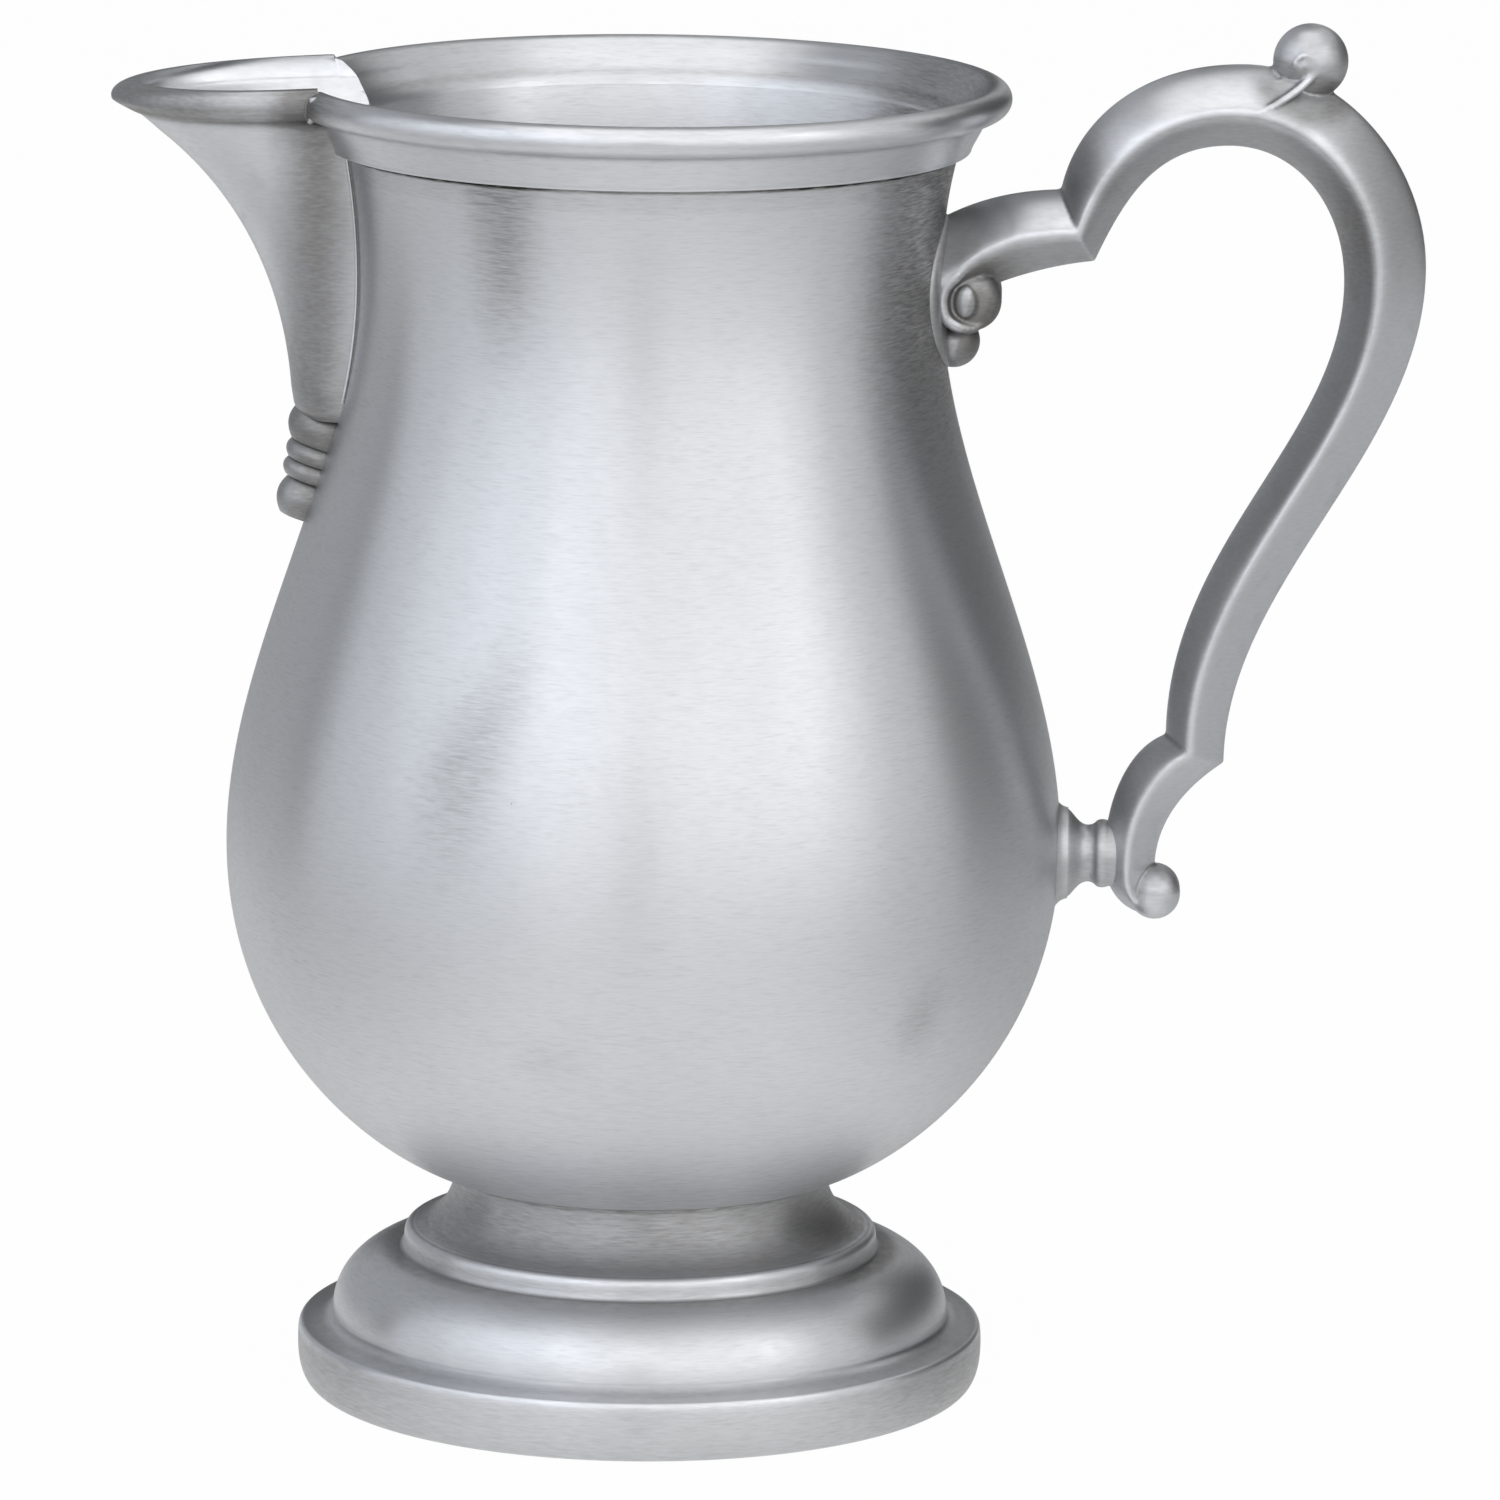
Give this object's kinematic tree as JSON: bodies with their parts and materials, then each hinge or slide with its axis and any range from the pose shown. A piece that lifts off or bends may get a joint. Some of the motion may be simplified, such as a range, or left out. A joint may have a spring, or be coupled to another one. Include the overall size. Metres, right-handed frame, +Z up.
{
  "type": "cream jug",
  "caption": "Footed pear-shaped pewter cream jug with a beaded rim, an applied flared spout and a cast scroll handle, for holding and pouring cream or milk.",
  "frame": {"origin": "centre of the foot's flat ring, on the axis of the body", "axes": "+Z up along the axis of the body, -X towards the tip of the spout, +X towards the handle"},
  "size_m": [0.1031, 0.066, 0.1097],
  "materials": {
    "pewter_spun": "brushed round the axis",
    "pewter_cast": "satin",
    "solder": "matt"
  },
  "bodies": {
    "root": {"body": "pewter_spun", "rim_moulding": "pewter_spun", "spout": "pewter_cast", "spout_drop": "pewter_cast", "spout_solder": "solder", "foot": "pewter_spun", "foot_solder": "solder", "handle": "pewter_cast", "handle_backplate": "pewter_cast", "handle_strut": "pewter_cast", "strut_solder": "solder"}
  },
  "joints": []
}
